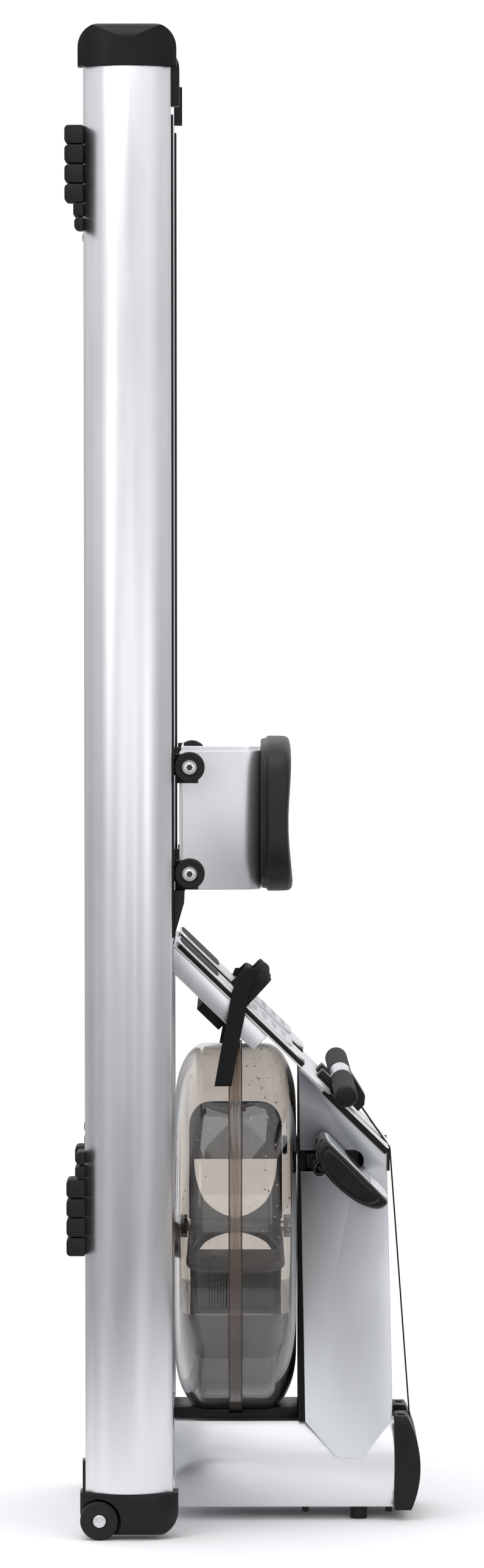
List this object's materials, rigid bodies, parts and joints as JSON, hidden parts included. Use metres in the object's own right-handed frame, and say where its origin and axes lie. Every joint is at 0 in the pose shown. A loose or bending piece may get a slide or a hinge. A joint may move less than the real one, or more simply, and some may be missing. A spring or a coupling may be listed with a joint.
{
  "type": "water rowing machine",
  "caption": "Twin-rail rowing machine stored upright on its front end, with a round translucent water tank, a sliding seat, strapped foot plates and a pull handle.",
  "frame": {"origin": "middle of the bounding box at the floor, with the machine stored upright on its front end", "axes": "+Z up, towards the machine's rear end in use; +X towards the side that faces up in use; -Y is the near side in the picture. For rowing it is laid down so that +X points up."},
  "size_m": [0.4981, 0.57, 2.11],
  "materials": {
    "satin_aluminium": "satin",
    "grey_sheet": "satin",
    "light_sheet": "satin",
    "gloss_black": "gloss",
    "matte_black": "matte",
    "black_rubber": "matte",
    "black_board": "satin",
    "smoked_shell": "gloss",
    "water": "gloss",
    "steel": "satin",
    "dark_steel": "satin",
    "blade_plastic": "satin",
    "foam": "matte",
    "webbing": "matte",
    "cushion_skin": "satin",
    "white_plastic": "satin",
    "display": "gloss"
  },
  "bodies": {
    "frame": {"near_rail": "satin_aluminium", "far_rail": "satin_aluminium", "seat_tracks": "matte_black", "near_rear_cap": "gloss_black", "far_rear_cap": "gloss_black", "near_front_cap": "gloss_black", "far_front_cap": "gloss_black", "rubber_feet": "black_rubber", "rail_spreaders": "satin_aluminium", "near_column": "satin_aluminium", "far_column": "satin_aluminium", "column_cap": "gloss_black", "column_feet": "black_rubber", "tank_cradle": "matte_black", "drive_board": "black_board", "tank_lower_shell": "smoked_shell", "tank_upper_shell": "smoked_shell", "tank_seal": "smoked_shell", "tank_bearings": "matte_black", "water": "water", "near_side_plate": "grey_sheet", "far_side_plate": "grey_sheet", "screws": "dark_steel", "deck_cover": "light_sheet", "drive_cover": "light_sheet", "foot_deck": "light_sheet", "foot_beams": "satin_aluminium", "foot_bed": "matte_black", "foot_plates": "white_plastic", "foot_straps": "webbing", "handle_rest": "matte_black", "axles": "steel", "recoil_bungee": "webbing", "drive_strap": "webbing", "monitor_arm": "dark_steel", "seat_stops": "black_rubber"},
    "paddle": {"paddle_shaft": "steel", "paddle_blades": "blade_plastic"},
    "drum": {"strap_drum": "matte_black"},
    "front_pulley": {"front_pulley": "matte_black"},
    "bungee_pulley": {"bungee_pulley": "matte_black"},
    "handle": {"handle_bar": "satin_aluminium", "handle_grips": "foam", "strap_clamp": "gloss_black"},
    "seat": {"seat_frame": "satin_aluminium", "seat_cushion": "cushion_skin", "seat_guides": "matte_black"},
    "near_front_wheel": {"near_front_wheel": "matte_black"},
    "near_rear_wheel": {"near_rear_wheel": "matte_black"},
    "far_front_wheel": {"far_front_wheel": "matte_black"},
    "far_rear_wheel": {"far_rear_wheel": "matte_black"},
    "near_transport_wheel": {"near_transport_wheel": "black_rubber"},
    "far_transport_wheel": {"far_transport_wheel": "black_rubber"},
    "near_heel": {"near_heel_plate": "white_plastic"},
    "far_heel": {"far_heel_plate": "white_plastic"},
    "monitor": {"monitor_case": "gloss_black", "monitor_screen": "display"},
    "units_button": {"units_button": "white_plastic"},
    "reset_button": {"reset_button": "white_plastic"},
    "plug": {"tank_plug": "gloss_black"}
  },
  "joints": [
    {"name": "seat_slide", "type": "slide", "parent": "frame", "child": "seat", "axis": [0, 0, 1], "range_m": [0, 0.9]},
    {"name": "near_front_wheel_spin", "type": "hinge", "parent": "seat", "child": "near_front_wheel", "pos_m": [-0.077, -0.239, 0.92935], "axis": [0, -1, 0], "range_deg": [0, 2440]},
    {"name": "near_rear_wheel_spin", "type": "hinge", "parent": "seat", "child": "near_rear_wheel", "pos_m": [-0.077, -0.239, 1.07805], "axis": [0, -1, 0], "range_deg": [0, 2440]},
    {"name": "far_front_wheel_spin", "type": "hinge", "parent": "seat", "child": "far_front_wheel", "pos_m": [-0.077, 0.239, 0.92935], "axis": [0, -1, 0], "range_deg": [0, 2440]},
    {"name": "far_rear_wheel_spin", "type": "hinge", "parent": "seat", "child": "far_rear_wheel", "pos_m": [-0.077, 0.239, 1.07805], "axis": [0, -1, 0], "range_deg": [0, 2440]},
    {"name": "near_transport_spin", "type": "hinge", "parent": "frame", "child": "near_transport_wheel", "pos_m": [-0.2036, -0.27, 0.027], "axis": [0, 1, 0], "continuous": true},
    {"name": "far_transport_spin", "type": "hinge", "parent": "frame", "child": "far_transport_wheel", "pos_m": [-0.2036, 0.27, 0.027], "axis": [0, 1, 0], "continuous": true},
    {"name": "paddle_spin", "type": "hinge", "parent": "frame", "child": "paddle", "pos_m": [-0.0136, 0, 0.4112], "axis": [1, 0, 0], "continuous": true, "deforming": ["water"]},
    {"name": "handle_pull", "type": "slide", "parent": "frame", "child": "handle", "axis": [0, 0, 1], "range_m": [0, 1.2], "deforming": ["drive_strap"]},
    {"name": "drum_spin", "type": "hinge", "parent": "frame", "child": "drum", "pos_m": [0.1314, 0, 0.4112], "axis": [-1, 0, 0], "range_deg": [0, 1850]},
    {"name": "front_pulley_spin", "type": "hinge", "parent": "frame", "child": "front_pulley", "pos_m": [0.2207, 0, 0.085], "axis": [0, -1, 0], "range_deg": [0, 3700]},
    {"name": "bungee_pulley_spin", "type": "hinge", "parent": "frame", "child": "bungee_pulley", "pos_m": [0.1654, -0.0446, 0.19], "axis": [1, 0, 0], "range_deg": [0, 2210]},
    {"name": "near_heel_slide", "type": "slide", "parent": "frame", "child": "near_heel", "axis": [0.7193, 0, -0.6947], "range_m": [-0.03, 0.03]},
    {"name": "far_heel_slide", "type": "slide", "parent": "frame", "child": "far_heel", "axis": [0.7193, 0, -0.6947], "range_m": [-0.03, 0.03]},
    {"name": "monitor_tilt", "type": "hinge", "parent": "frame", "child": "monitor", "pos_m": [0.104, -0.1738, 0.513], "axis": [0, 1, 0], "range_deg": [-15, 15]},
    {"name": "units_press", "type": "slide", "parent": "monitor", "child": "units_button", "axis": [-0.7071, 0, -0.7071], "range_m": [0, 0.001], "stiffness_N_per_m": 500, "springref_m": -0.001},
    {"name": "reset_press", "type": "slide", "parent": "monitor", "child": "reset_button", "axis": [-0.7071, 0, -0.7071], "range_m": [0, 0.001], "stiffness_N_per_m": 500, "springref_m": -0.001},
    {"name": "plug_pull", "type": "slide", "parent": "frame", "child": "plug", "axis": [1, 0, 0], "range_m": [0, 0.03]}
  ],
  "couplings": [
    {"joint": "near_front_wheel_spin", "follows": "seat_slide", "rad_per_m": 47.17},
    {"joint": "near_rear_wheel_spin", "follows": "seat_slide", "rad_per_m": 47.17},
    {"joint": "far_front_wheel_spin", "follows": "seat_slide", "rad_per_m": 47.17},
    {"joint": "far_rear_wheel_spin", "follows": "seat_slide", "rad_per_m": 47.17},
    {"joint": "drum_spin", "follows": "handle_pull", "rad_per_m": 26.81},
    {"joint": "front_pulley_spin", "follows": "handle_pull", "rad_per_m": 53.763},
    {"joint": "bungee_pulley_spin", "follows": "handle_pull", "rad_per_m": 32.092}
  ]
}
